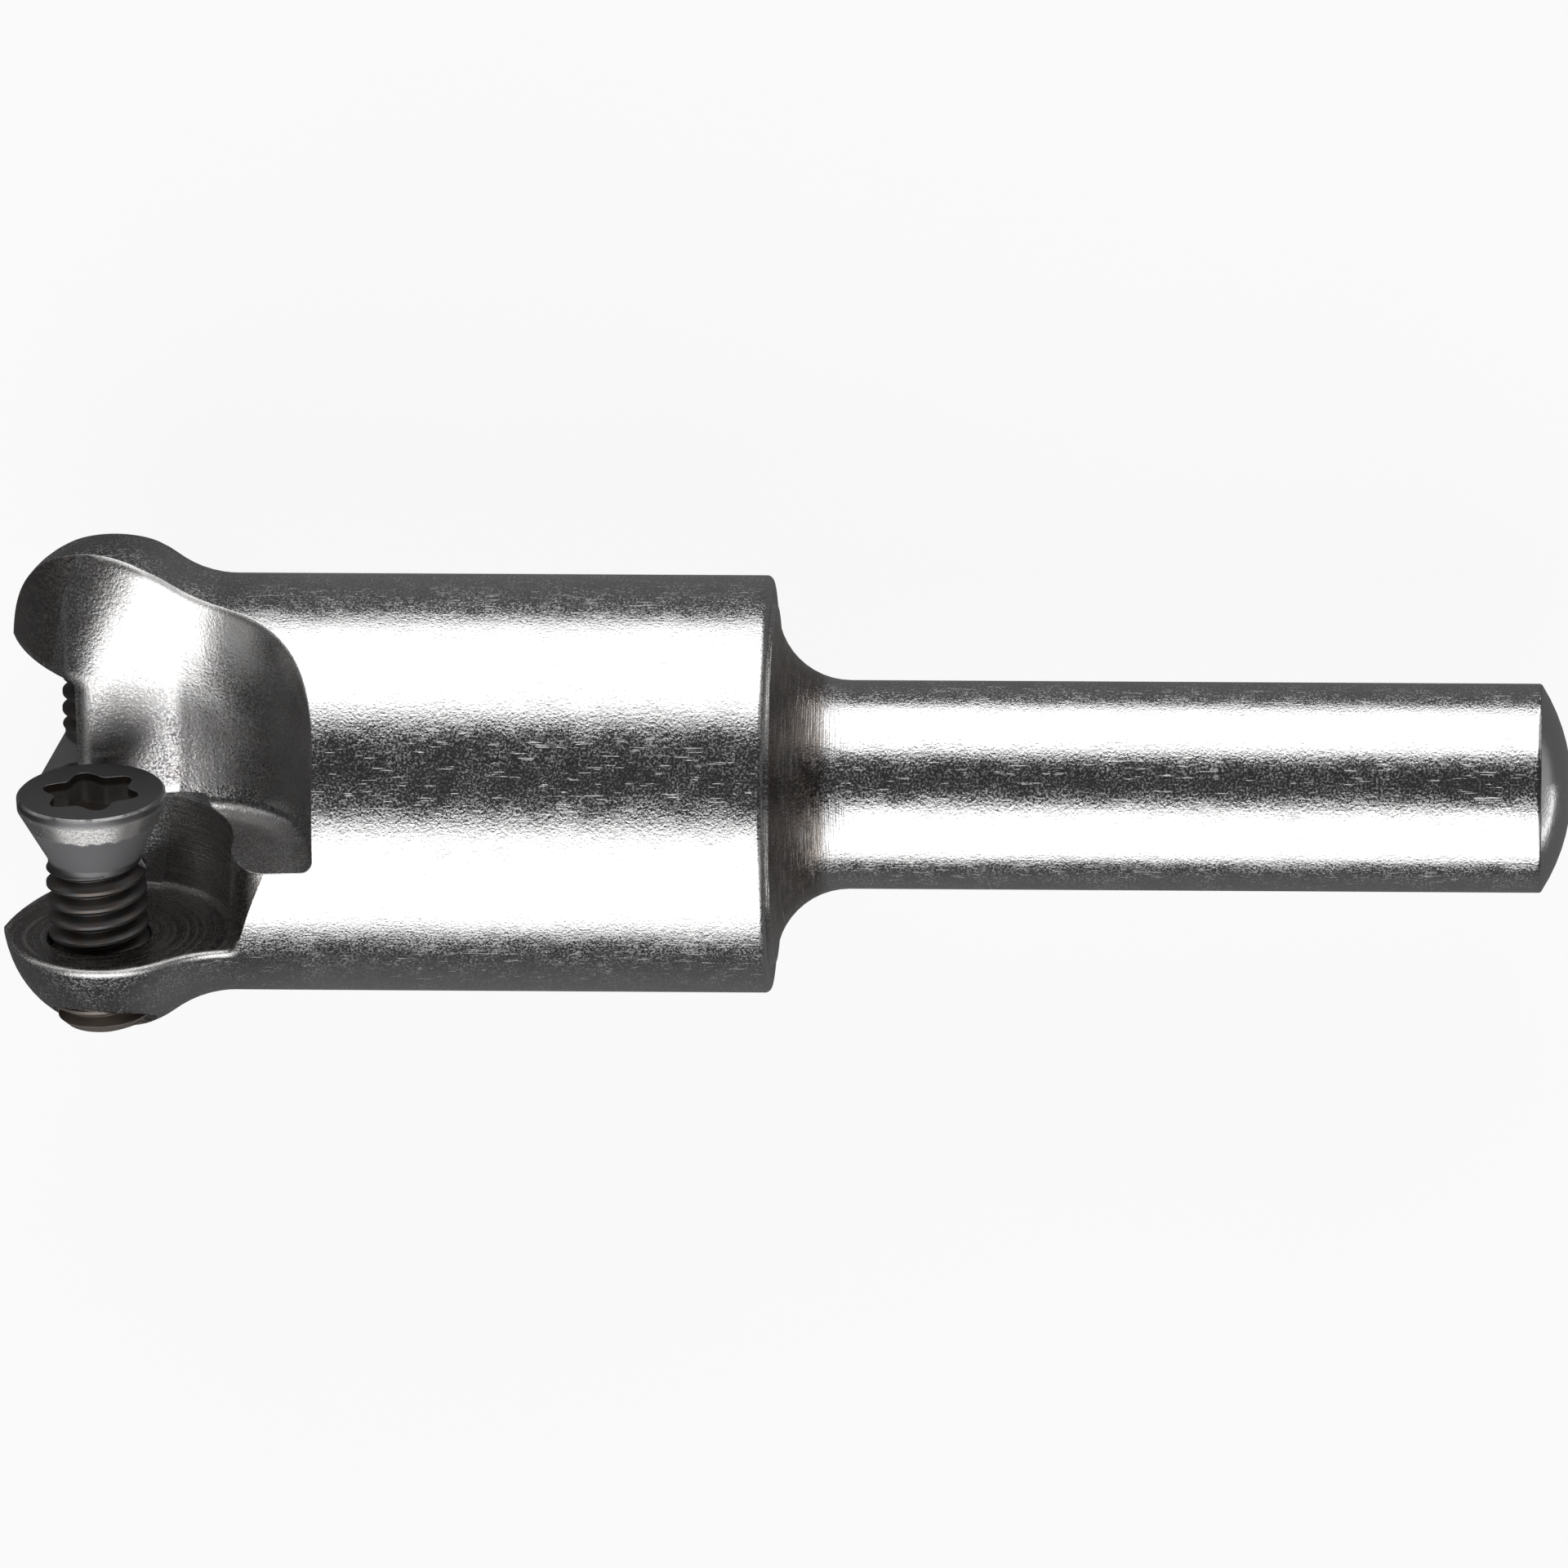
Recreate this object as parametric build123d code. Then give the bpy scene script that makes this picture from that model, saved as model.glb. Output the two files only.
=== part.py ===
from build123d import *
import os
from math import cos, radians, sin, sqrt, tan

# Round-insert milling cutter, millimetres.
# The tool axis is X, with the cutting end towards -X and the shank towards +X.
# Z points up. The tool lies on its body, with both chip gullets clear of the floor.

# Turned blank
overall_length = 60.0
shank_diameter = 8.0
body_diameter = 16.0
body_length = 29.4
head_diameter = 19.04
flare_radius = 4.12
flare_blend_radius = 4.0
body_rim_radius = 0.25
shoulder_step = 0.15
shoulder_radius = 2.85
end_dome_radius = 7.4
end_rim_radius = 0.15

# Tooth: each one is laid out in the plane of its insert seat
tooth_count = 2
tooth_roll = 22.8
axial_tilt = 1.8
hole_from_front = 3.78
hole_from_axis = 4.6
seat_drop = 4.44

# Insert pocket, measured in the seat plane from the screw hole
pocket_radius = 5.05
pocket_draft = 4.5
pocket_base_radius = 0.2
pocket_mouth_angle = 16.0
pocket_exit_angle = 6.0
pocket_exit_reach = 0.62
pocket_exit_width = 2.2
pocket_exit_turn = 0.95

# Chip gullet, measured in the seat plane from the screw hole. Each level gives its height
# above the seat, the radius and centre of the sweep out to the side, and the two ends of
# the nose that rounds the gullet into the front of the next tooth.
gullet_rise = 3.75
gullet_floor_radius = 0.5
gullet_side_slope = 1.0
gullet_nose_end = 0.5
gullet_floor_level = (0.0, 6.2, (2.45, 2.45), (-3.6, -7.6), (-1.4, -3.6), (-0.1, -3.3))
gullet_knee_level = (5.35, 6.05, (2.72, 2.5), (-3.6, -9.0), (-1.0, -3.8), (0.9, -3.35))
gullet_crest_level = (10.75, 5.9, (2.92, 2.55), (-3.6, -10.0), (-1.0, -5.15), (2.5, -3.35))
core_half_thickness = 0.2

# Insert screw
thread_diameter = 3.9
thread_clearance = 0.04
hole_mouth_chamfer = 0.2
screw_length = 9.36
screw_stands = (5.9, 7.0)
head_rim_diameter = 5.72
head_rim_height = 0.5
head_rim_radius = 0.12
head_cone_angle = 50.0
neck_diameter = 3.4
neck_length = 0.55
neck_runout = 0.25
tip_chamfer = 0.45
recess_points = 6
recess_diameter = 3.86
recess_waist_diameter = 2.86
recess_depth = 1.9
recess_phase = 14.0

clear = 20.0


def blank_profile():
    """Half section of the turned blank, from the front face to the domed shank end."""
    body_r = body_diameter / 2
    shank_r = shank_diameter / 2
    flare_x = flare_radius
    flare_r = head_diameter / 2 - flare_radius
    blend_r = body_r + flare_blend_radius
    span = flare_radius + flare_blend_radius
    blend_x = flare_x + sqrt(span**2 - (blend_r - flare_r) ** 2)
    share = flare_radius / span
    tangent = (flare_x + (blend_x - flare_x) * share, flare_r + (blend_r - flare_r) * share)
    half_turn = radians(45)
    dome_start = overall_length - end_dome_radius + sqrt(end_dome_radius**2 - shank_r**2)
    dome_mid_r = shank_r / 2
    dome_mid = overall_length - end_dome_radius + sqrt(end_dome_radius**2 - dome_mid_r**2)
    step_r = shank_r + shoulder_radius
    fillet_x = body_length + shoulder_step
    with BuildSketch(Plane.XY) as section:
        with BuildLine():
            Polyline((0, 0), (0, flare_r))
            flare_mid = (
                flare_x - flare_radius * cos(half_turn),
                flare_r + flare_radius * sin(half_turn),
            )
            ThreePointArc((0, flare_r), flare_mid, (flare_x, head_diameter / 2))
            turn = (tangent[0] - flare_x, tangent[1] - flare_r)
            bulge = Vector(turn[0], turn[1] + flare_radius).normalized() * flare_radius
            ThreePointArc(
                (flare_x, head_diameter / 2), (flare_x + bulge.X, flare_r + bulge.Y), tangent
            )
            dip = Vector(tangent[0] - blend_x, tangent[1] - blend_r - flare_blend_radius)
            dip = dip.normalized() * flare_blend_radius
            ThreePointArc(tangent, (blend_x + dip.X, blend_r + dip.Y), (blend_x, body_r))
            Polyline(
                (blend_x, body_r),
                (body_length, body_r),
                (body_length, step_r),
                (fillet_x, step_r),
            )
            ThreePointArc(
                (fillet_x, step_r),
                (
                    fillet_x + shoulder_radius * (1 - cos(half_turn)),
                    step_r - shoulder_radius * sin(half_turn),
                ),
                (fillet_x + shoulder_radius, shank_r),
            )
            Line((fillet_x + shoulder_radius, shank_r), (dome_start, shank_r))
            ThreePointArc((dome_start, shank_r), (dome_mid, dome_mid_r), (overall_length, 0))
            Line((overall_length, 0), (0, 0))
        make_face()
        rim = section.vertices().sort_by_distance((body_length, body_r))[0]
        fillet(rim, body_rim_radius)
        end_rim = section.vertices().sort_by_distance((dome_start, shank_r))[0]
        fillet(end_rim, end_rim_radius)
    return section.sketch


def turned_blank():
    return revolve(blank_profile(), Axis.X)


def seat_plane(tooth):
    """Plane of one insert seat: origin on the screw axis, x to the rear, y towards the axis."""
    roll = radians(tooth_roll + 360 * tooth / tooth_count)
    tilt = radians(axial_tilt)
    rise = Vector(0, cos(roll), sin(roll))
    outward = Vector(0, -sin(roll), cos(roll))
    origin = Vector(hole_from_front, 0, 0) - rise * seat_drop + outward * hole_from_axis
    rearward = Vector(cos(tilt), 0, 0) + rise * sin(tilt)
    normal = Vector(-sin(tilt), 0, 0) + rise * cos(tilt)
    return Plane(origin, x_dir=rearward, z_dir=normal)


def plan(points):
    """Turn (rearward, outward) pairs into the sketch axes of a seat plane."""
    return [(rear, -out) for rear, out in points]


def pocket_section(tooth, height):
    """Plan of the round pocket at a height above the seat, open to the front and outwards."""
    radius = pocket_radius + height * tan(radians(pocket_draft))
    mouth = radians(pocket_mouth_angle)
    leave = radians(pocket_exit_angle)
    front = -hole_from_front - 3
    inner = (radius * sin(mouth), -radius * cos(mouth))
    inner_front = (front, inner[1] - (inner[0] - front) * tan(mouth))
    back = (radius * cos(radians(-35)), radius * sin(radians(-35)))
    outer = (radius * cos(leave), radius * sin(leave))
    flank_mid = (outer[0] + pocket_exit_reach * 0.3, outer[1] + pocket_exit_width * 0.6)
    flank = (outer[0] + pocket_exit_reach, outer[1] + pocket_exit_width)
    turn_mid = (flank[0] + pocket_exit_turn * 0.3, flank[1] + pocket_exit_turn * 0.4)
    turn = (flank[0] + pocket_exit_turn * 0.8, flank[1] + pocket_exit_turn * 0.65)
    rear = (turn[0] + 4, turn[1] + 1.2)
    with BuildSketch(seat_plane(tooth).offset(height)) as section:
        with BuildLine():
            Line(*plan([inner_front, inner]))
            ThreePointArc(*plan([inner, back, outer]))
            ThreePointArc(*plan([outer, flank_mid, flank]))
            ThreePointArc(*plan([flank, turn_mid, turn]))
            Polyline(*plan([turn, rear, (rear[0], clear), (front, clear), inner_front]))
        make_face()
    return section.sketch


def foot_edges(cutter, plane, behind):
    """Edges of a cutter that lie on its floor plane, further back than a given distance."""
    found = []
    for edge in cutter.edges():
        place = plane.to_local_coords(edge.center())
        if abs(place.Z) < 0.001 and place.X > behind:
            found.append(edge)
    return found


def pocket_cutter(tooth):
    """Removes the round insert pocket of one tooth, with a drafted wall and a small base fillet."""
    ceiling = seat_drop - core_half_thickness
    cutter = loft([pocket_section(tooth, 0), pocket_section(tooth, ceiling)], ruled=True)
    wall_foot = foot_edges(cutter, seat_plane(tooth), 0)
    return fillet(wall_foot, pocket_base_radius)


def gullet_section(tooth, level):
    """Plan of the chip gullet at one level: nose, web wall, then a sweep out to the side."""
    height, radius, centre, start, bend, shoulder = level
    foot_turn = radians(5)
    side_turn = radians(45)
    foot = (centre[0] + radius * sin(foot_turn), centre[1] - radius * cos(foot_turn))
    sweep_mid = (centre[0] + radius * sin(side_turn), centre[1] - radius * cos(side_turn))
    sweep_end = (centre[0] + radius, centre[1])
    front_mid = ((start[0] + bend[0]) / 2 - 0.25, (start[1] + bend[1]) / 2 + 0.5)
    nose_mid = ((bend[0] + shoulder[0]) / 2 - 0.1, (bend[1] + shoulder[1]) / 2 + 0.12)
    far_front = (start[0] - 4, clear)
    with BuildSketch(seat_plane(tooth).offset(gullet_rise + height)) as section:
        with BuildLine():
            ThreePointArc(*plan([start, front_mid, bend]))
            ThreePointArc(*plan([bend, nose_mid, shoulder]))
            Line(*plan([shoulder, foot]))
            ThreePointArc(*plan([foot, sweep_mid, sweep_end]))
            far_side = (sweep_end[0] - gullet_side_slope, clear)
            Polyline(*plan([sweep_end, far_side, far_front, (far_front[0], start[1]), start]))
        make_face()
    return section.sketch


def gullet_cutter(tooth):
    """Removes the chip gullet of one tooth above its flat floor."""
    floor = gullet_section(tooth, gullet_floor_level)
    knee = gullet_section(tooth, gullet_knee_level)
    crest = gullet_section(tooth, gullet_crest_level)
    cutter = loft([floor, knee], ruled=True) + loft([knee, crest], ruled=True)
    wall_foot = foot_edges(cutter, seat_plane(tooth).offset(gullet_rise), gullet_nose_end)
    return fillet(wall_foot, gullet_floor_radius)


def screw_hole(tooth):
    """Tapped hole through the tooth, along the seat normal, with a small countersunk mouth."""
    plane = seat_plane(tooth)
    radius = thread_diameter / 2 + thread_clearance
    mouth_radius = radius + hole_mouth_chamfer
    bore = plane * Pos(0, 0, -clear / 2) * Cylinder(radius, clear)
    mouth_height = hole_mouth_chamfer * 2
    mouth = plane * Cone(radius - hole_mouth_chamfer, mouth_radius + hole_mouth_chamfer, mouth_height)
    return bore + mouth


def polar(radius, angle):
    return (radius * cos(radians(angle)), radius * sin(radians(angle)))


def recess_star():
    """Six-point star with rounded points and waists."""
    pitch = 360 / recess_points
    tip_r = recess_diameter / 2
    waist_r = recess_waist_diameter / 2
    side_r = (tip_r + waist_r) / 2
    side_turn = pitch / 4
    with BuildSketch() as star:
        with BuildLine():
            for point in range(recess_points):
                turn = point * pitch - recess_phase
                near = polar(side_r, turn - side_turn)
                far = polar(side_r, turn + side_turn)
                ThreePointArc(near, polar(tip_r, turn), far)
                next_near = polar(side_r, turn + pitch - side_turn)
                ThreePointArc(far, polar(waist_r, turn + pitch / 2), next_near)
        make_face()
    return star.sketch


def insert_screw():
    """Countersunk insert screw, its axis on Z and the underside of its tip at zero."""
    rim_r = head_rim_diameter / 2
    thread_r = thread_diameter / 2
    neck_r = neck_diameter / 2
    cone_top = screw_length - head_rim_height
    cone_foot = cone_top - (rim_r - neck_r) / tan(radians(head_cone_angle / 2))
    neck_foot = cone_foot - neck_length
    with BuildSketch(Plane.XZ) as section:
        with BuildLine():
            Polyline(
                (0, 0),
                (thread_r - tip_chamfer, 0),
                (thread_r, tip_chamfer),
                (thread_r, neck_foot),
                (neck_r, neck_foot + neck_runout),
                (neck_r, cone_foot),
                (rim_r, cone_top),
                (rim_r, screw_length),
                (0, screw_length),
                (0, 0),
            )
        make_face()
        rim = section.vertices().sort_by_distance((rim_r, screw_length))[0]
        fillet(rim, head_rim_radius)
    body = revolve(section.sketch, Axis.Z)
    recess = Pos(0, 0, screw_length - recess_depth) * extrude(recess_star(), clear)
    return body - recess


def cutter_body():
    body = turned_blank()
    for tooth in range(tooth_count):
        body -= pocket_cutter(tooth)
        body -= gullet_cutter(tooth)
        body -= screw_hole(tooth)
    return body


shank_start = body_length + shoulder_step + shoulder_radius
shank_end = overall_length - end_dome_radius + sqrt(end_dome_radius**2 - (shank_diameter / 2) ** 2)
clamp_centre = (shank_start + shank_end) / 2
home = Pos(-clamp_centre, 0, 0)

os.makedirs("parts", exist_ok=True)
export_step(home * cutter_body(), "parts/cutter_body.step")
for tooth in range(tooth_count):
    seated = seat_plane(tooth) * Pos(0, 0, screw_stands[tooth] - screw_length) * insert_screw()
    export_step(home * seated, f"parts/insert_screw_{tooth + 1}.step")
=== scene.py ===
import bpy
from math import cos, pi, radians, sin, tan
from types import SimpleNamespace
from mathutils import Matrix, Vector


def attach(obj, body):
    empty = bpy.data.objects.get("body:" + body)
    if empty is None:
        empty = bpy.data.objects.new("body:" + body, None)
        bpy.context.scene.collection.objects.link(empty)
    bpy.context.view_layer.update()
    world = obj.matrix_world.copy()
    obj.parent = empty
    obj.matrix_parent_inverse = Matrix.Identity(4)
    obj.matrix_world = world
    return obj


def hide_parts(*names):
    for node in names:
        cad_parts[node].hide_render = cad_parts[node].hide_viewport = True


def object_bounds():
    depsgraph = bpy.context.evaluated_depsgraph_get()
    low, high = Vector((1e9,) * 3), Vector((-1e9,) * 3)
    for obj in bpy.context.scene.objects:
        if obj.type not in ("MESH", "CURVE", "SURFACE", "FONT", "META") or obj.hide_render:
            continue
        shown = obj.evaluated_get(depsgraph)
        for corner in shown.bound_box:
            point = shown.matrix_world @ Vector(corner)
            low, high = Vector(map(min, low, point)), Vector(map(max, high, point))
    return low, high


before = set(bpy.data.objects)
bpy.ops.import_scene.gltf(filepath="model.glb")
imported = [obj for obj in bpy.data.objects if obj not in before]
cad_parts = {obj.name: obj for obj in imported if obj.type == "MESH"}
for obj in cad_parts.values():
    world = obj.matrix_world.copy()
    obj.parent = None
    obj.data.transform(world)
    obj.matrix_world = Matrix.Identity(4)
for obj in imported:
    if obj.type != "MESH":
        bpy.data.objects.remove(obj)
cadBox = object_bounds()
print("frame loaded:", sorted(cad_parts))

mm = 0.001
world = bpy.context.scene.world or bpy.data.worlds.new("studio")
bpy.context.scene.world = world
bpy.context.scene.view_settings.view_transform = "Standard"


# small helpers for working in the scene

def deselectAll():
    if bpy.context.object and bpy.context.object.mode != "OBJECT":
        bpy.ops.object.mode_set(mode="OBJECT")
    bpy.ops.object.select_all(action="DESELECT")


def pick(obj):
    deselectAll()
    obj.select_set(True)
    bpy.context.view_layer.objects.active = obj
    return obj


def applyModifier(obj, kind, **settings):
    pick(obj)
    modifier = obj.modifiers.new(kind.lower(), kind)
    for name, value in settings.items():
        setattr(modifier, name, value)
    bpy.ops.object.modifier_apply(modifier=modifier.name)


# shader maths: a wire can be used in sums, and each sum adds its Math node

class Wire:
    def __init__(self, shader, socket):
        self.shader = shader
        self.socket = socket

    def maths(self, operation, *values):
        return self.shader.add("ShaderNodeMath", {"operation": operation}, dict(enumerate(values)))

    def __add__(self, other):
        return self.maths("ADD", self, other)

    def __radd__(self, other):
        return self.maths("ADD", other, self)

    def __sub__(self, other):
        return self.maths("SUBTRACT", self, other)

    def __rsub__(self, other):
        return self.maths("SUBTRACT", other, self)

    def __mul__(self, other):
        return self.maths("MULTIPLY", self, other)

    def __rmul__(self, other):
        return self.maths("MULTIPLY", other, self)

    def __truediv__(self, other):
        return self.maths("DIVIDE", self, other)

    def __pow__(self, other):
        return self.maths("POWER", self, other)

    def __abs__(self):
        return self.maths("ABSOLUTE", self)

    # 1 well above a level, 0 well below it, with a blur on each side
    def above(self, level, blur):
        return self.shader.ramp(self, level - blur, level + blur)

    def below(self, level, blur):
        return 1 - self.above(level, blur)


# the nodes of one material or of the world

class Shader:
    def __init__(self, owner):
        owner.use_nodes = True
        self.tree = owner.node_tree
        self.tree.nodes.clear()

    def add(self, kind, settings=None, sockets=None, output=0):
        node = self.tree.nodes.new(kind)
        for name, value in (settings or {}).items():
            setattr(node, name, value)
        shown = [socket for socket in node.inputs if socket.enabled]
        for key, value in (sockets or {}).items():
            socket = shown[key] if isinstance(key, int) else node.inputs[key]
            if isinstance(value, Wire):
                self.tree.links.new(value.socket, socket)
            else:
                socket.default_value = value
        outputs = [socket for socket in node.outputs if socket.enabled]
        if not outputs:
            return None
        found = outputs[output] if isinstance(output, int) else node.outputs[output]
        return Wire(self, found)

    def ramp(self, value, low, high, toLow=0.0, toHigh=1.0):
        settings = {"interpolation_type": "SMOOTHSTEP"}
        sockets = {0: value, 1: low, 2: high, 3: toLow, 4: toHigh}
        return self.add("ShaderNodeMapRange", settings, sockets)

    def mix(self, share, first, second):
        return self.add("ShaderNodeMix", {"data_type": "RGBA"}, {0: share, 1: first, 2: second})

    def noise(self, place, size, detail=2.0, roughness=0.5):
        sockets = {"Vector": place, "Scale": 1 / size, "Detail": detail, "Roughness": roughness}
        return self.add("ShaderNodeTexNoise", {}, sockets)

    def vector(self, x, y, z):
        return self.add("ShaderNodeCombineXYZ", {}, {0: x, 1: y, 2: z})

    def split(self, vector):
        node = self.tree.nodes.new("ShaderNodeSeparateXYZ")
        self.tree.links.new(vector.socket, node.inputs[0])
        return [Wire(self, socket) for socket in node.outputs]

    def dot(self, first, second):
        return self.add("ShaderNodeVectorMath", {"operation": "DOT_PRODUCT"}, {0: first, 1: second})

    # object coordinates in millimetres
    def places(self):
        place = self.add("ShaderNodeTexCoord", output="Object")
        return self.add("ShaderNodeVectorMath", {"operation": "SCALE"}, {0: place, 1: 1 / mm})

    def bevelled(self, radius):
        return self.add("ShaderNodeBevel", {"samples": 6}, {"Radius": radius})

    # height is in millimetres
    def bump(self, height, normal):
        sockets = {"Strength": 1.0, "Distance": mm, "Height": height, "Normal": normal}
        return self.add("ShaderNodeBump", {}, sockets)


def newMaterial(name):
    material = bpy.data.materials.new(name)
    return material, Shader(material)


# camera: above the tool, turned a little towards its shank end

camera = {
    "distance": 735 * mm,
    "leanDeg": 2.8,
    "rollDeg": 0.325,
    "centreX": -15.78 * mm,
    "frameWidth": 60.09 * mm,
    "sensor": 36.0,
    "clipStart": 10 * mm,
}


def makeCamera():
    lean = radians(camera["leanDeg"])
    roll = radians(camera["rollDeg"])
    back = Vector((sin(lean), 0, cos(lean)))
    flatRight = Vector((cos(lean), 0, -sin(lean)))
    flatUp = Vector((0, 1, 0))
    right = flatRight * cos(roll) + flatUp * sin(roll)
    up = flatUp * cos(roll) - flatRight * sin(roll)
    place = Vector((camera["centreX"], 0, 0)) + back * camera["distance"]
    data = bpy.data.cameras.new("camera")
    data.sensor_width = camera["sensor"]
    data.lens = camera["sensor"] * camera["distance"] / camera["frameWidth"]
    data.clip_start = camera["clipStart"]
    obj = bpy.data.objects.new("camera", data)
    bpy.context.scene.collection.objects.link(obj)
    turn = Matrix((right, up, back)).transposed()
    obj.matrix_world = Matrix.Translation(place) @ turn.to_4x4()
    bpy.context.scene.camera = obj


makeCamera()
print("camera placed")


# studio: a pale floor, long soft boxes on both sides, and cards seen only in the metal

studio = {
    "floorSize": 6.0,
    "floorColour": (0.86, 0.86, 0.86),
    "floorWhite": 0.9,
    "roomColour": (0.038, 0.037, 0.038),
    "boxDistance": 0.55,
    "boxRadiance": 2.4,
    # side, high and low angle from straight up, and the stretch along the tool
    "boxes": [
        (1, 37.5, 89, -0.35, 0.31),
        (-1, 25.5, 89, -0.5, 0.31),
        (-1, 28, 46, -0.9, -0.5),
    ],
    "cardNear": (0.125, 0.124, 0.125),
    "cardByHead": (0.062, 0.061, 0.062),
    "headFade": (-43.0, -33.0),  # millimetres along the tool
    "cardFar": (0.03, 0.029, 0.03),
    "cardFade": (12.0, 50.0),  # millimetres away from the tool
    "cardMiddle": 30.0,  # half of the tool, in millimetres
    "cardReach": {1: 80 * mm, -1: 1200 * mm},
    "cardLength": 700 * mm,
    "cardLift": 0.2 * mm,
    # stretch along the tool, stretch across it, and radiance
    "strips": [
        (-0.3, 0.06, 0.08, 0.55, 2.4),
        (0.026, 0.028, -0.007, 0.0, 2.4),
        (0.028, 0.04, -0.008, 0.007, 0.4),
    ],
    "stripLift": 0.3 * mm,
    # direction, width, lower and upper edge, and radiance
    "cornerCards": [
        (215, 0.48, 0.02, 0.5, 0.42),
        (42, 0.8, 0.02, 0.9, 0.5),
        (-42, 0.8, 0.02, 0.9, 0.5),
        (135, 0.9, 0.02, 0.9, 0.5),
    ],
    "cornerDistance": 1.2,
}


def makeFloor():
    material, shader = newMaterial("floor")
    light = shader.add("ShaderNodeLightPath", output="Is Camera Ray")
    glossy = shader.add("ShaderNodeLightPath", output="Is Glossy Ray")
    through = shader.add("ShaderNodeLightPath", output="Is Transmission Ray")
    seen = light.maths("MINIMUM", light + glossy + through, 1.0) * studio["floorWhite"]
    paint = shader.add("ShaderNodeBsdfDiffuse", {}, {"Color": (*studio["floorColour"], 1)})
    white = shader.add("ShaderNodeEmission", {}, {"Color": (1, 1, 1, 1), "Strength": 1.0})
    surface = shader.add("ShaderNodeMixShader", {}, {0: seen, 1: paint, 2: white})
    shader.add("ShaderNodeOutputMaterial", {}, {"Surface": surface})
    deselectAll()
    lowest = cadBox[0].z
    bpy.ops.mesh.primitive_plane_add(size=studio["floorSize"], location=(0, 0, lowest))
    floor = bpy.context.object
    floor.name = "floor"
    floor.data.materials.append(material)


def makeWorld():
    shader = Shader(world)
    colour = (*studio["roomColour"], 1)
    room = shader.add("ShaderNodeBackground", {}, {"Color": colour, "Strength": 1.0})
    shader.add("ShaderNodeOutputWorld", {}, {"Surface": room})


def makeSoftBox(side, highDeg, lowDeg, fromX, toX):
    high = studio["boxDistance"] / tan(radians(highDeg))
    low = studio["boxDistance"] / tan(radians(lowDeg))
    data = bpy.data.lights.new("softBox", "AREA")
    data.shape = "RECTANGLE"
    data.size = toX - fromX
    data.size_y = high - low
    data.energy = studio["boxRadiance"] * pi * data.size * data.size_y
    obj = bpy.data.objects.new("softBox", data)
    bpy.context.scene.collection.objects.link(obj)
    obj.location = ((fromX + toX) / 2, side * studio["boxDistance"], (high + low) / 2)
    obj.rotation_euler = (side * -pi / 2, 0, 0)


def makeGlow(name, radiance):
    material, shader = newMaterial(name)
    glow = shader.add("ShaderNodeEmission", {}, {"Strength": radiance})
    shader.add("ShaderNodeOutputMaterial", {}, {"Surface": glow})
    return material


# gives the plane just added its material and shows it only in the metal
def finishCard(name, size, material):
    piece = bpy.context.object
    piece.name = name
    piece.scale = (*size, 1)
    bpy.ops.object.transform_apply(location=True, rotation=True, scale=True)
    piece.data.materials.append(material)
    piece.visible_camera = False
    piece.visible_diffuse = False
    piece.visible_shadow = False


def layOnFloor(material, fromX, toX, fromY, toY, lift):
    deselectAll()
    place = ((fromX + toX) / 2, (fromY + toY) / 2, cadBox[0].z + lift)
    bpy.ops.mesh.primitive_plane_add(size=1, location=place)
    finishCard("card", (toX - fromX, toY - fromY), material)


# darker beside the tool than far from it
def makeCard(side):
    material, shader = newMaterial("card")
    x, y = shader.split(shader.places())[:2]
    pastEnds = abs(x - camera["centreX"] / mm) - studio["cardMiddle"]
    pastEnds = pastEnds.maths("MAXIMUM", pastEnds, 0.0)
    fade = shader.ramp((y * y + pastEnds * pastEnds) ** 0.5, *studio["cardFade"])
    pastHead = shader.ramp(x, *studio["headFade"])
    near = shader.mix(pastHead, (*studio["cardByHead"], 1), (*studio["cardNear"], 1))
    colour = shader.mix(fade, near, (*studio["cardFar"], 1))
    glow = shader.add("ShaderNodeEmission", {}, {"Color": colour, "Strength": 1.0})
    shader.add("ShaderNodeOutputMaterial", {}, {"Surface": glow})
    half = studio["cardLength"] / 2
    ends = sorted((0, side * studio["cardReach"][side]))
    layOnFloor(material, -half, half, *ends, studio["cardLift"])


def makeStrip(fromX, toX, fromY, toY, radiance):
    layOnFloor(makeGlow("strip", radiance), fromX, toX, fromY, toY, studio["stripLift"])


# an upright grey card off a corner of the table
def makeCornerCard(azimuthDeg, width, fromZ, toZ, radiance):
    deselectAll()
    azimuth = radians(azimuthDeg)
    away = studio["cornerDistance"]
    place = (away * cos(azimuth), away * sin(azimuth), (fromZ + toZ) / 2)
    turn = (pi / 2, 0, azimuth + pi / 2)
    bpy.ops.mesh.primitive_plane_add(size=1, location=place, rotation=turn)
    finishCard("cornerCard", (width, toZ - fromZ), makeGlow("cornerCard", radiance))


makeFloor()
makeWorld()
for box in studio["boxes"]:
    makeSoftBox(*box)
for side in (-1, 1):
    makeCard(side)
for strip in studio["strips"]:
    makeStrip(*strip)
for card in studio["cornerCards"]:
    makeCornerCard(*card)
print("studio set up")


# where one tooth lies, in millimetres: the part's source has the same values

tooth = {
    "rollDeg": 22.8,
    "tiltDeg": 1.8,
    "holeFromFront": 3.78,
    "holeFromAxis": 4.6,
    "seatDrop": 4.44,
    "frontFromOrigin": 45.61288,
    "floorHeight": 3.75,  # of the gullet, above the seat
}


# rearward, outward and height above the seat, the same for both teeth
def toothPlace(x, y, z):
    roll = radians(tooth["rollDeg"])
    tilt = radians(tooth["tiltDeg"])
    outward = z * cos(roll) - y * sin(roll)
    side = outward.maths("SIGN", outward)
    along = x + (tooth["frontFromOrigin"] - tooth["holeFromFront"])
    rise = (y * cos(roll) + z * sin(roll)) * side + tooth["seatDrop"]
    height = rise * cos(tilt) - along * sin(tilt)
    rearward = along * cos(tilt) + rise * sin(tilt)
    return rearward, abs(outward) - tooth["holeFromAxis"], height


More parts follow.
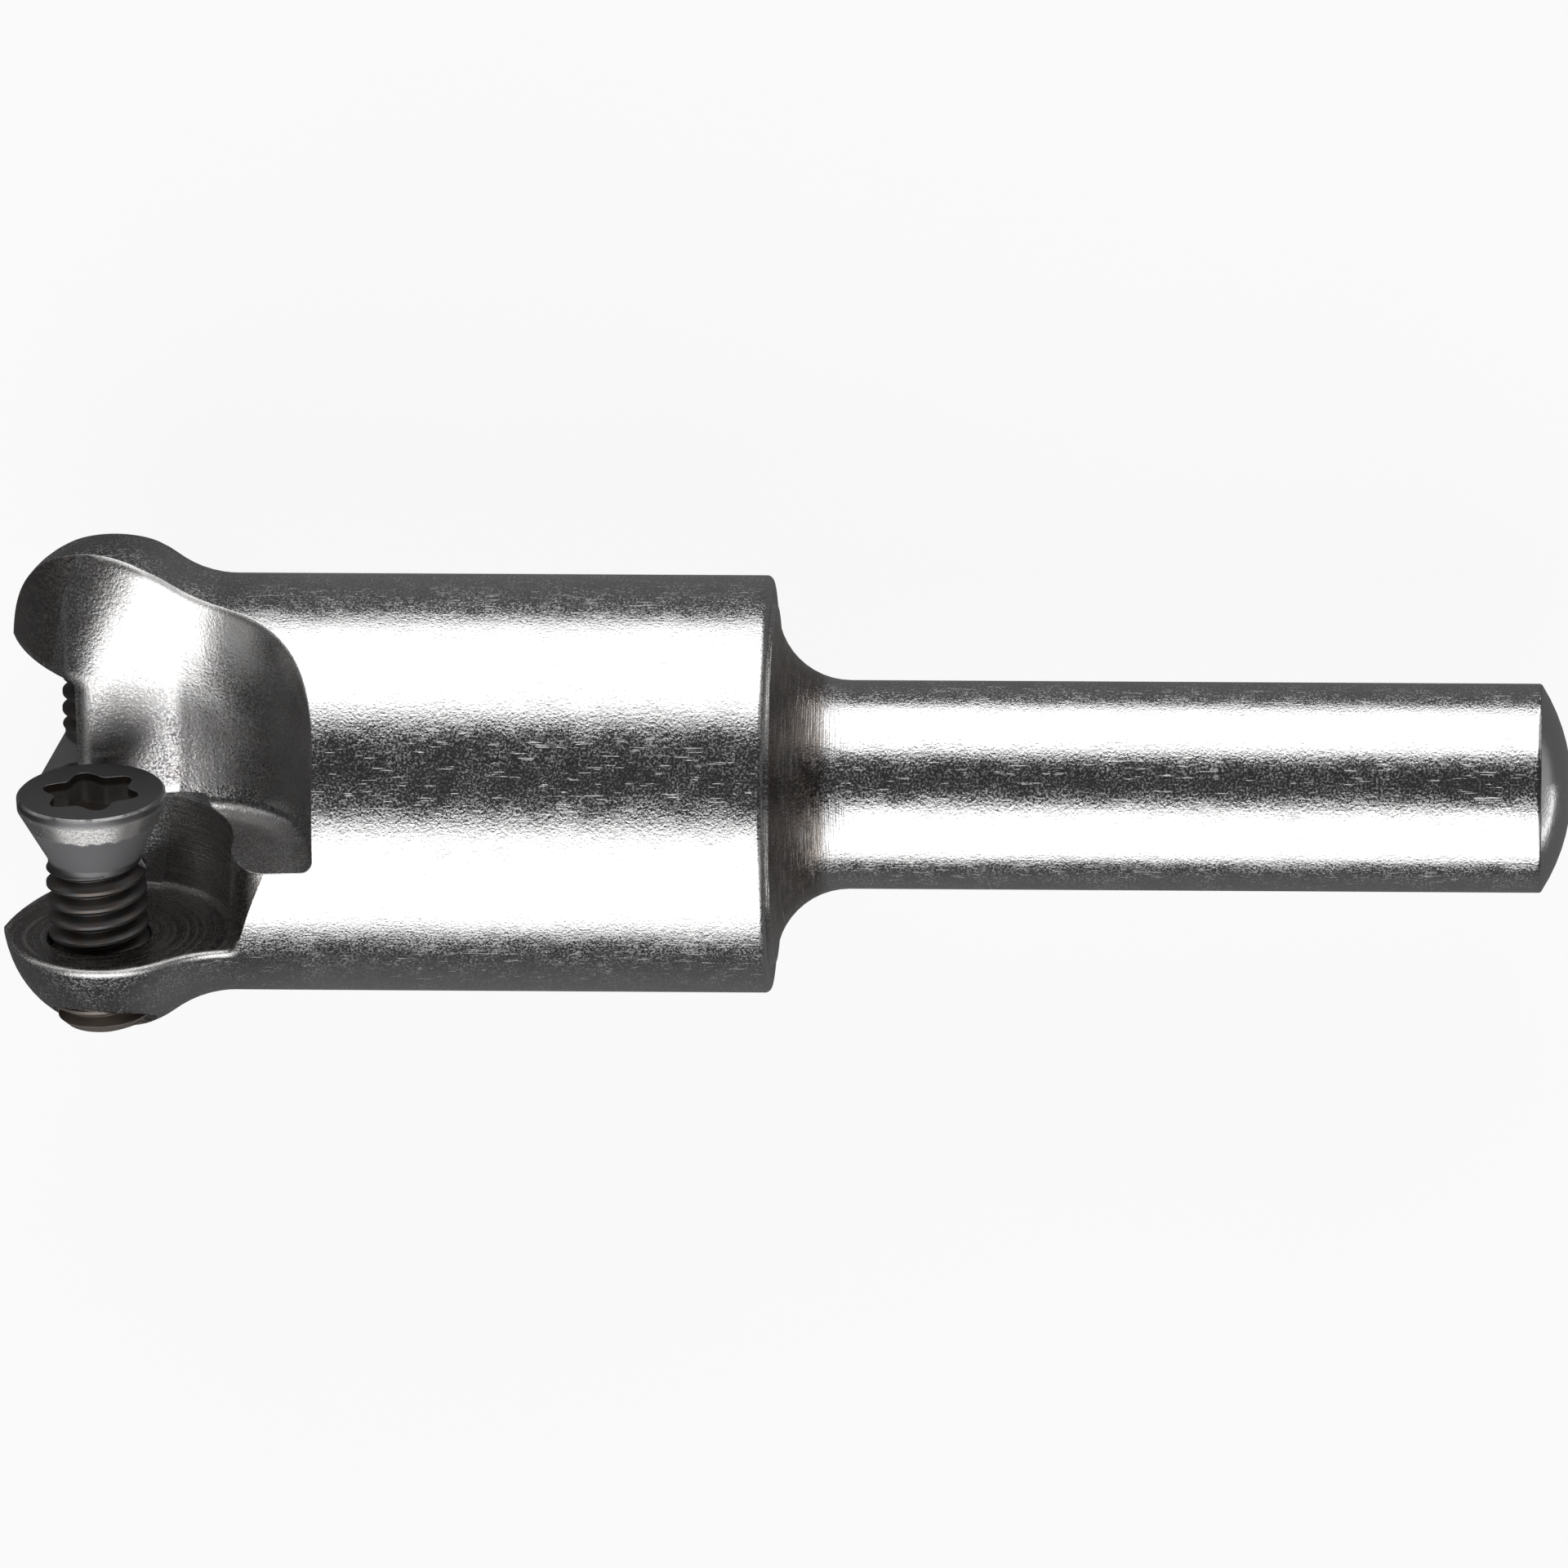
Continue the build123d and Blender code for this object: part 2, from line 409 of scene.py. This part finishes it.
# bright steel of the cutter body: turned outside, milled in the pockets and gullets

steel = {
    "colour": (0.62, 0.615, 0.615),
    # the next colours paint light into the steel: a brownish reflection, dark reflections in the
    # pocket, in the fillet streaks and low on the gullet wall, and lighter edges that are partly wear
    # and partly a painted highlight
    "warmColour": (0.5, 0.42, 0.36),
    "pocketReflectionColour": (0.33, 0.32, 0.315),
    "filletReflectionColour": (0.26, 0.235, 0.22),
    "lowWallReflectionColour": (0.3, 0.295, 0.3),
    "wornAndHighlightColour": (0.72, 0.71, 0.7),
    "roughness": 0.13,
    "milledRoughness": 0.2,
    "speckRoughness": 0.5,
    "lowWallRoughness": 0.07,  # added to the milled one
    "feedRoughness": 0.15,  # added on some of the arcs
    "patchSize": 1.1,
    "grainSize": 0.11,
    "grainHeight": 0.016,
    "grainByPatch": (0.3, 0.7, 0.75, 1.25),  # from, to, and what each end gives
    "grainLostMilled": 0.25,
    "grainLostOnDome": 0.6,
    "scratchSize": 0.04,
    "scratchHeight": 0.004,
    "scratchStretch": 0.035,
    "scratchLevel": (0.66, 0.06),  # a level and the blur on each side of it
    "scratchedSize": 0.35,
    "scratchedStretch": 0.5,
    "scratchedLevel": (0.56, 0.08),
    "turningSize": 0.05,
    "turningHeight": 0.02,
    "turningStretch": 0.035,
    "turningSlant": 0.7,
    "turningElsewhere": 0.012,
    "turningOnShank": 0.04,
    "turningOnHead": 0.05,
    "feedSize": 0.1,
    "feedHeight": 0.026,
    "feedDullLevel": (0.55, 0.08),
    "wallMarkSize": 0.09,
    "wallMarkHeight": 0.003,
    "markStretch": 0.05,
    "speckSize": 0.085,
    "milledSpecks": 0.5,
    "dullBySpeck": (0.42, 0.72),
    "dullByPatch": (0.25, 0.75, 0.6, 1.2),
    "dullLostOnDome": 0.8,
    "lowWallReflectionBySpeck": (0.35, 0.62, 0.25, 0.95),
    "streakGapLevel": (0.6, 0.06),
    "streakGapShare": 0.8,
    "warmSize": 0.7,
    "warmLevel": (0.5, 0.12),
    "warmShare": {"all": 0.02, "gullet": 0.12, "pocket": 0.2, "fillet": 0.3},
    "edgeRadius": 0.07,
    "seatEdgeRadius": 0.45,
    "stepEdgeRadius": 0.35,
    "gulletBlend": 0.6,
    "wornAndHighlightLevel": (0.05, 0.04),
    "milledSlope": (0.07, 0.03),
    # where each finish starts or stops, in millimetres, and its blur
    "milledUpTo": (-25.0, 1.0),
    "pocketInset": 0.04,  # below the gullet's floor
    "seatEdgeHeight": (0.6, 0.1),
    "seatEdgeReach": (2.6, 0.2),
    "wallFoot": (0.9, 0.3),  # above the gullet's floor
    "wallInside": (-4.2, 0.2),  # outwards from the screw's hole
    "lowWallTop": (8.2, 1.5),
    "headUpTo": (-38.5, 2.0),
    "stepFrom": (-16.33, 0.03),
    "stepUpTo": (-15.9, 0.1),
    "stepReach": (7.2, 0.2),
    "filletFrom": (-16.3, 0.1),
    "filletUpTo": (-12.9, 0.5),
    "streaksUpTo": (-14.15, 0.3),
    "streaksReach": (7.6, 0.3),
    "shankRingsUpTo": (-10.5, 2.0),
    "domeFrom": (13.1, 0.1),
}


# places, masks and the noises that more than one finish reads
def surveySteel(shader):
    at = SimpleNamespace(place=shader.places())
    at.x, at.y, at.z = shader.split(at.place)
    at.radius = (at.y * at.y + at.z * at.z) ** 0.5
    at.normal = shader.add("ShaderNodeTexCoord", output="Normal")
    at.rearward, at.outward, at.height = toothPlace(at.x, at.y, at.z)
    at.reach = (at.rearward * at.rearward + at.outward * at.outward) ** 0.5

    # a turned surface has no slope sideways
    acrossY, acrossZ = shader.split(at.normal)[1:]
    slope = abs((acrossY * at.z - acrossZ * at.y) / at.radius)
    at.milled = slope.above(*steel["milledSlope"]) * at.x.below(*steel["milledUpTo"])
    inset = steel["pocketInset"]
    at.pocket = at.milled * at.height.below(tooth["floorHeight"] - inset, inset / 2)
    at.gullet = at.milled - at.pocket
    foot, footBlur = steel["wallFoot"]
    at.overFloor = at.height.above(tooth["floorHeight"] + foot, footBlur)
    at.lowWall = at.gullet * at.height.below(*steel["lowWallTop"]) * at.overFloor
    at.dome = at.x.above(*steel["domeFrom"])
    at.shoulder = at.x.above(*steel["filletFrom"])

    at.patches = shader.noise(at.place, steel["patchSize"], 2.0)
    at.specks = shader.noise(at.place, steel["speckSize"], 2.0, 0.65)
    squeeze = steel["turningStretch"]
    around = (at.x - at.radius * steel["turningSlant"], at.y * squeeze, at.z * squeeze)
    at.rings = shader.noise(shader.vector(*around), steel["turningSize"], 2.0)
    bent = shader.vector(at.reach, at.height, at.rearward * steel["markStretch"])
    at.arcs = shader.noise(bent, steel["feedSize"], 2.0)
    return at


def steelRelief(shader, at):
    # fine grain with a few brighter and darker patches
    grain = shader.noise(at.place, steel["grainSize"], 2.0, 0.6)
    relief = grain * steel["grainHeight"] * shader.ramp(at.patches, *steel["grainByPatch"])
    relief = relief * (1 - at.milled * steel["grainLostMilled"])
    relief = relief * (1 - at.dome * steel["grainLostOnDome"])

    # thin scratches along the tool
    long = shader.vector(at.x * steel["scratchStretch"], at.y, at.z)
    scratches = shader.noise(long, steel["scratchSize"], 1.0).above(*steel["scratchLevel"])
    some = shader.vector(at.x * steel["scratchedStretch"], at.y, at.z)
    scratches = scratches * shader.noise(some, steel["scratchedSize"]).above(*steel["scratchedLevel"])
    relief = relief + scratches * steel["scratchHeight"] * (1 - at.milled)

    # turning rings, strong on the shoulder fillet and faint elsewhere
    onFillet = at.shoulder * at.x.below(*steel["filletUpTo"])
    onShank = at.shoulder * at.x.below(*steel["shankRingsUpTo"])
    onHead = at.x.below(*steel["headUpTo"])
    share = steel["turningElsewhere"] + onFillet + onShank * steel["turningOnShank"]
    share = share + onHead * steel["turningOnHead"]
    relief = relief + at.rings * steel["turningHeight"] * share * (1 - at.milled)

    # arcs left by the cutter that milled the seat and the round wall, and marks up the gullet wall
    relief = relief + at.arcs * steel["feedHeight"] * at.pocket
    upright = shader.vector(at.rearward, at.outward, at.height * steel["markStretch"])
    wallMarks = shader.noise(upright, steel["wallMarkSize"], 2.0)
    return relief + wallMarks * steel["wallMarkHeight"] * at.gullet


# small edges are broken, the seat's outer edge is rounder, the gullet wall has no crease
def steelEdges(shader, at):
    seatEdge = abs(at.height).below(*steel["seatEdgeHeight"])
    seatEdge = seatEdge * at.reach.above(*steel["seatEdgeReach"])
    onWall = at.gullet * at.outward.above(*steel["wallInside"]) * at.overFloor
    atStep = at.x.above(*steel["stepFrom"]) * at.x.below(*steel["stepUpTo"])
    atStep = atStep * at.radius.below(*steel["stepReach"])
    size = seatEdge * (steel["seatEdgeRadius"] - steel["edgeRadius"])
    size = size + onWall * (steel["gulletBlend"] - steel["edgeRadius"])
    size = size + atStep * (steel["stepEdgeRadius"] - steel["edgeRadius"])
    return shader.bevelled((size + steel["edgeRadius"]) * mm)


def steelColour(shader, at):
    # painted dark reflection on the lower gullet wall, broken up by the specks
    lowWallReflection = at.lowWall * shader.ramp(at.specks, *steel["lowWallReflectionBySpeck"])
    colour = shader.mix(lowWallReflection, (*steel["colour"], 1), (*steel["lowWallReflectionColour"], 1))
    # painted dark reflection in the pocket
    colour = shader.mix(at.pocket, colour, (*steel["pocketReflectionColour"], 1))
    # painted dark reflection along the turning streaks on the shoulder fillet, with lighter gaps
    # between them
    darkReflectionStreaks = at.shoulder * at.x.below(*steel["streaksUpTo"])
    darkReflectionStreaks = darkReflectionStreaks * at.radius.below(*steel["streaksReach"])
    gaps = at.rings.above(*steel["streakGapLevel"]) * steel["streakGapShare"]
    darkReflectionStreaks = darkReflectionStreaks * (1 - gaps)
    colour = shader.mix(darkReflectionStreaks, colour, (*steel["filletReflectionColour"], 1))
    # painted brownish reflection in random patches, strongest in the gullet, the pocket and the
    # fillet streaks
    share = steel["warmShare"]
    warm = share["all"] + at.gullet * share["gullet"] + at.pocket * share["pocket"]
    warm = warm + darkReflectionStreaks * share["fillet"]
    warm = warm * shader.noise(at.place, steel["warmSize"], 3.0).above(*steel["warmLevel"])
    return shader.mix(warm, colour, (*steel["warmColour"], 1))


# dull specks between the bright grains, and duller milling marks
def steelRoughness(shader, at):
    dull = shader.ramp(at.specks, *steel["dullBySpeck"])
    dull = dull * shader.ramp(at.patches, *steel["dullByPatch"])
    fewer = (at.milled - at.lowWall) * (1 - steel["milledSpecks"])
    dull = dull * (1 - fewer) * (1 - at.dome * steel["dullLostOnDome"])
    rough = steel["roughness"] + dull * (steel["speckRoughness"] - steel["roughness"])
    rough = rough + at.milled * (steel["milledRoughness"] - steel["roughness"])
    rough = rough + at.lowWall * steel["lowWallRoughness"]
    return rough + at.pocket * at.arcs.above(*steel["feedDullLevel"]) * steel["feedRoughness"]


def makeSteel():
    material, shader = newMaterial("steel")
    at = surveySteel(shader)
    edges = steelEdges(shader, at)
    # edges lighter in colour: partly wear, partly a painted highlight
    wornAndHighlight = (1 - shader.dot(edges, at.normal)).above(*steel["wornAndHighlightLevel"])
    body = shader.add(
        "ShaderNodeBsdfPrincipled",
        {},
        {
            "Base Color": shader.mix(wornAndHighlight, steelColour(shader, at), (*steel["wornAndHighlightColour"], 1)),
            "Metallic": 1.0,
            "Roughness": steelRoughness(shader, at),
            "Normal": shader.bump(steelRelief(shader, at), edges),
        },
    )
    shader.add("ShaderNodeOutputMaterial", {}, {"Surface": body})
    return material


# insert screws: threaded, with a star recess, standing as high as the solids do

screw = {
    "stands": (5.9, 7.0),  # the top of each screw above its seat
    "length": 9.36,
    "crestRadius": 1.92,
    "tipChamfer": 0.425,
    "pitch": 0.7,
    "turns": 10,
    "stepsPerTurn": 48,
    "grooveDepth": 0.5,
    "grooveProud": 0.04,
    "grooveRunout": 0.12,
    "rootRounding": 0.07,
    "rootSegments": 3,
    "neckRadius": 1.8,
    "neckLength": 0.5,
    "neckRunout": 0.2,
    "coneDeg": 54.0,
    "rimRadius": 2.855,
    "rimHeight": 0.5,
    "rimChamfer": 0.09,
    "starRadius": 1.93,
    "starWaist": 1.43,
    "starDepth": 1.9,
    "starTurnDeg": -14.0,
    "starProud": 1.0,
    "stepsPerPoint": 12,
    "sides": 96,
    "smoothDeg": 32,
    "weld": 0.001,
    "sliver": 0.002,
}


def seatMatrix(number):
    roll = radians(tooth["rollDeg"] + 180 * number)
    tilt = radians(tooth["tiltDeg"])
    rise = Vector((0, cos(roll), sin(roll)))
    outward = Vector((0, -sin(roll), cos(roll)))
    along = Vector((1, 0, 0))
    place = outward * tooth["holeFromAxis"] - rise * tooth["seatDrop"]
    place += along * (tooth["holeFromFront"] - tooth["frontFromOrigin"])
    rear = along * cos(tilt) + rise * sin(tilt)
    up = rise * cos(tilt) - along * sin(tilt)
    side = up.cross(rear)
    turn = Matrix((rear, side, up)).transposed().to_4x4()
    return Matrix.Translation(place * mm) @ turn


# extrudes the selected cap step by step to each radius and height
def growCap(radius, height, steps):
    for nextRadius, nextHeight in steps:
        bpy.ops.mesh.extrude_region_move(
            TRANSFORM_OT_translate={"value": (0, 0, (nextHeight - height) * mm)}
        )
        grow = nextRadius / radius
        bpy.ops.transform.resize(value=(grow, grow, 1), center_override=(0, 0, nextHeight * mm))
        radius, height = nextRadius, nextHeight


def makeScrewBlank():
    deselectAll()
    start = screw["crestRadius"] - screw["tipChamfer"]
    bpy.ops.mesh.primitive_circle_add(
        vertices=screw["sides"], radius=start * mm, fill_type="NGON", location=(0, 0, 0)
    )
    blank = bpy.context.object
    coneTop = screw["length"] - screw["rimHeight"]
    coneRise = (screw["rimRadius"] - screw["neckRadius"]) / tan(radians(screw["coneDeg"] / 2))
    coneFoot = coneTop - coneRise
    neckFoot = coneFoot - screw["neckLength"]
    bpy.ops.object.mode_set(mode="EDIT")
    bpy.ops.mesh.select_all(action="SELECT")
    steps = [
        (screw["crestRadius"], screw["tipChamfer"]),
        (screw["crestRadius"], neckFoot),
        (screw["neckRadius"], neckFoot + screw["neckRunout"]),
        (screw["neckRadius"], coneFoot),
        (screw["rimRadius"], coneTop),
        (screw["rimRadius"], screw["length"] - screw["rimChamfer"]),
        (screw["rimRadius"] - screw["rimChamfer"], screw["length"]),
    ]
    growCap(start, 0.0, steps)
    bpy.ops.mesh.select_all(action="SELECT")
    bpy.ops.mesh.normals_make_consistent(inside=False)
    bpy.ops.object.mode_set(mode="OBJECT")
    return blank, neckFoot


# a 60 degree groove with a rounded root, wound up the screw
def makeGroove(top):
    deselectAll()
    triangle = screw["grooveDepth"] + screw["grooveProud"]
    around = triangle / 1.5  # an equal-sided triangle is 1.5 times its radius high
    middle = screw["crestRadius"] + screw["grooveProud"] - around / 2
    low = top + screw["grooveRunout"] - screw["pitch"] * screw["turns"]
    bpy.ops.mesh.primitive_circle_add(vertices=3, radius=around * mm, fill_type="NOTHING")
    groove = bpy.context.object
    groove.rotation_euler = (pi / 2, -pi / 2, 0)
    groove.location = (middle * mm, 0, low * mm)
    bpy.ops.object.transform_apply(location=True, rotation=True, scale=True)
    bpy.ops.object.mode_set(mode="EDIT")
    bpy.ops.mesh.select_all(action="DESELECT")
    bpy.ops.object.mode_set(mode="OBJECT")
    root = min(groove.data.vertices, key=lambda vertex: vertex.co.x)
    root.select = True
    bpy.ops.object.mode_set(mode="EDIT")
    bpy.ops.mesh.select_mode(type="VERT")
    bpy.ops.mesh.bevel(
        offset=screw["rootRounding"] * mm, segments=screw["rootSegments"], affect="VERTICES"
    )
    bpy.ops.object.mode_set(mode="OBJECT")
    applyModifier(
        groove,
        "SCREW",
        axis="Z",
        angle=2 * pi,
        screw_offset=screw["pitch"] * mm,
        iterations=screw["turns"],
        steps=screw["stepsPerTurn"],
        render_steps=screw["stepsPerTurn"],
        use_merge_vertices=True,
        merge_threshold=screw["weld"] * mm,
    )
    bpy.ops.object.mode_set(mode="EDIT")
    bpy.ops.mesh.select_all(action="SELECT")
    bpy.ops.mesh.remove_doubles(threshold=screw["weld"] * mm)
    bpy.ops.mesh.fill_holes(sides=0)
    bpy.ops.mesh.normals_make_consistent(inside=False)
    bpy.ops.object.mode_set(mode="OBJECT")
    return groove


# a prism with six rounded points
def makeStar():
    deselectAll()
    perPoint = screw["stepsPerPoint"]
    count = 6 * perPoint
    floor = screw["length"] - screw["starDepth"]
    bpy.ops.mesh.primitive_circle_add(
        vertices=count, radius=1 * mm, fill_type="NGON", location=(0, 0, floor * mm)
    )
    star = bpy.context.object
    bpy.ops.object.transform_apply(location=True, rotation=True, scale=True)
    middle = (screw["starRadius"] + screw["starWaist"]) / 2
    swing = (screw["starRadius"] - screw["starWaist"]) / 2
    for step in range(perPoint):
        share = cos(2 * pi * step / perPoint)
        reach = middle + swing * share
        bpy.ops.object.mode_set(mode="EDIT")
        bpy.ops.mesh.select_all(action="DESELECT")
        bpy.ops.object.mode_set(mode="OBJECT")
        for index in range(step, count, perPoint):
            star.data.vertices[index].select = True
        bpy.ops.object.mode_set(mode="EDIT")
        bpy.ops.transform.resize(value=(reach, reach, 1), center_override=(0, 0, floor * mm))
    bpy.ops.mesh.select_all(action="SELECT")
    bpy.ops.transform.rotate(
        value=radians(screw["starTurnDeg"]), orient_axis="Z", center_override=(0, 0, floor * mm)
    )
    bpy.ops.mesh.extrude_region_move(
        TRANSFORM_OT_translate={"value": (0, 0, (screw["starDepth"] + screw["starProud"]) * mm)}
    )
    bpy.ops.mesh.select_all(action="SELECT")
    bpy.ops.mesh.normals_make_consistent(inside=False)
    bpy.ops.object.mode_set(mode="OBJECT")
    return star


def cutAway(obj, cutter):
    applyModifier(obj, "BOOLEAN", operation="DIFFERENCE", solver="EXACT", object=cutter)
    bpy.data.objects.remove(cutter)


# closes up the slivers that the cuts leave
def mergeSlivers(obj):
    pick(obj)
    bpy.ops.object.mode_set(mode="EDIT")
    bpy.ops.mesh.select_all(action="SELECT")
    bpy.ops.mesh.remove_doubles(threshold=screw["sliver"] * mm)
    bpy.ops.mesh.dissolve_degenerate(threshold=screw["sliver"] * mm)
    bpy.ops.object.mode_set(mode="OBJECT")


def makeScrew(number, blank):
    pick(blank)
    bpy.ops.object.duplicate(linked=False)
    piece = bpy.context.object
    piece.name = f"threadedScrew{number + 1}"
    lift = Matrix.Translation((0, 0, (screw["stands"][number] - screw["length"]) * mm))
    piece.matrix_world = seatMatrix(number) @ lift
    pick(piece)
    bpy.ops.object.transform_apply(location=True, rotation=True, scale=True)
    bpy.ops.object.shade_smooth_by_angle(angle=radians(screw["smoothDeg"]))
    piece.data.materials.clear()
    piece.data.materials.append(makeBlackSteel(number))
    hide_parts(f"insert_screw_{number + 1}")
    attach(piece, "root")


# dark screw steel, rubbed bright on the top of the cone, and lighter on the rim, partly rubbed and
# partly a painted highlight

blackSteel = {
    "colour": (0.124, 0.124, 0.129),
    # lighter colour of the rubbed cone top, also used on the edges and the rim, where it is partly
    # wear and partly a painted highlight
    "rubbedAndHighlightColour": (0.36, 0.355, 0.35),
    "warmColour": (0.13, 0.112, 0.1),
    "matteColour": (0.12, 0.12, 0.125),
    "recessColour": (0.13, 0.113, 0.1),
    "tipColour": (0.18, 0.155, 0.135),
    "roughness": 0.42,
    "matteRoughness": 0.65,
    "rubbedRoughness": 0.3,
    "metallic": 0.9,
    "metallicLostMatte": 0.8,
    "metallicLostAtTip": 0.35,
    "grainSize": 0.07,
    "grainHeight": 0.006,
    "blotchSize": 0.5,
    "edgeRadius": 0.045,
    # a level and its blur
    "wornAndHighlightLevel": (0.07, 0.05),
    "wornAndHighlightBlotch": (0.42, 0.08),
    "rimBlotch": (0.4, 0.06),
    "warmBlotch": (0.5, 0.1),
    "wornAndHighlightShine": 0.8,
    "rimShine": 0.7,
    "warmOnHead": 0.2,
    "rubbedByGrain": (0.3, 0.6, 0.55, 1.0),
    # depths below the top and reaches from the axis, in millimetres, and their blur
    "rubbedTop": 0.35,
    "rubbedTopBlur": 0.12,
    "rubbedFoot": 1.15,
    "rubbedFootWaver": 0.5,
    "rubbedFootBlur": 0.06,
    "matteTopBlur": 0.05,
    "matteFoot": (2.6, 0.1),
    "rimDepth": (0.11, 0.02),
    "rimReach": (2.75, 0.02),
    "threadTop": (3.0, 0.2),
    "tipTop": (8.0, 0.5),
    "recessReach": (1.96, 0.01),
    "recessTop": (0.04, 0.02),
    "recessFloor": (2.2, 0.1),
}


def makeBlackSteel(number):
    material, shader = newMaterial(f"blackSteel{number + 1}")
    place = shader.places()
    seat = seatMatrix(number)
    axis = seat.col[2].xyz
    tip = seat.translation / mm + axis * (screw["stands"][number] - screw["length"])
    height = shader.dot(place, tuple(axis)) - axis.dot(tip)
    belowTop = screw["length"] - height
    arm = shader.add(
        "ShaderNodeVectorMath", {"operation": "SUBTRACT"}, {0: place, 1: tuple(tip)}
    )
    reach = (shader.dot(arm, arm) - height * height) ** 0.5
    coarse = shader.noise(place, blackSteel["blotchSize"], 3.0)
    fine = shader.noise(place, blackSteel["grainSize"], 2.0)

    # rubbed bright on the cone's top; the edges and the rim are lighter, partly from wear and partly
    # as a painted highlight
    normal = shader.add("ShaderNodeTexCoord", output="Normal")
    edges = shader.bevelled(blackSteel["edgeRadius"] * mm)
    wornAndHighlight = (1 - shader.dot(edges, normal)).above(*blackSteel["wornAndHighlightLevel"])
    wornAndHighlight = wornAndHighlight * coarse.above(*blackSteel["wornAndHighlightBlotch"])
    foot = blackSteel["rubbedFoot"] + (coarse - 0.5) * blackSteel["rubbedFootWaver"]
    band = belowTop.above(blackSteel["rubbedTop"], blackSteel["rubbedTopBlur"])
    band = band * (belowTop - foot).below(0, blackSteel["rubbedFootBlur"])
    rubbed = band * shader.ramp(fine, *blackSteel["rubbedByGrain"])
    # painted highlight on the rim, in rubbed patches
    onRim = belowTop.below(*blackSteel["rimDepth"]) * reach.above(*blackSteel["rimReach"])
    onRim = onRim * coarse.above(*blackSteel["rimBlotch"])
    bright = rubbed.maths("MAXIMUM", rubbed, wornAndHighlight * blackSteel["wornAndHighlightShine"])
    bright = bright.maths("MAXIMUM", bright, onRim * blackSteel["rimShine"])

    # warmer on the thread, matte on the cone, browner at the tip and in the recess
    onThread = belowTop.above(*blackSteel["threadTop"])
    warm = blackSteel["warmOnHead"] + onThread * (1 - blackSteel["warmOnHead"])
    warm = warm * coarse.above(*blackSteel["warmBlotch"])
    dark = shader.mix(warm, (*blackSteel["colour"], 1), (*blackSteel["warmColour"], 1))
    matte = belowTop.above(blackSteel["rubbedTop"], blackSteel["matteTopBlur"])
    matte = matte * belowTop.below(*blackSteel["matteFoot"]) * (1 - bright)
    dark = shader.mix(matte, dark, (*blackSteel["matteColour"], 1))
    atTip = belowTop.above(*blackSteel["tipTop"])
    dark = shader.mix(atTip, dark, (*blackSteel["tipColour"], 1))
    inRecess = reach.below(*blackSteel["recessReach"]) * belowTop.above(*blackSteel["recessTop"])
    inRecess = inRecess * belowTop.below(*blackSteel["recessFloor"])
    dark = shader.mix(inRecess, dark, (*blackSteel["recessColour"], 1))

    metallic = blackSteel["metallic"] - matte * blackSteel["metallicLostMatte"]
    rough = blackSteel["roughness"] + matte * (blackSteel["matteRoughness"] - blackSteel["roughness"])
    rough = rough + bright * (blackSteel["rubbedRoughness"] - blackSteel["roughness"])
    body = shader.add(
        "ShaderNodeBsdfPrincipled",
        {},
        {
            "Base Color": shader.mix(bright, dark, (*blackSteel["rubbedAndHighlightColour"], 1)),
            "Metallic": metallic - atTip * blackSteel["metallicLostAtTip"],
            "Roughness": rough,
            "Normal": shader.bump(fine * blackSteel["grainHeight"], edges),
        },
    )
    shader.add("ShaderNodeOutputMaterial", {}, {"Surface": body})
    return material


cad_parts["cutter_body"].material_slots[0].material = makeSteel()
print("steel made")

blank, threadTop = makeScrewBlank()
cutAway(blank, makeGroove(threadTop))
cutAway(blank, makeStar())
mergeSlivers(blank)
for number in (0, 1):
    makeScrew(number, blank)
bpy.data.objects.remove(blank)
print("screws made")
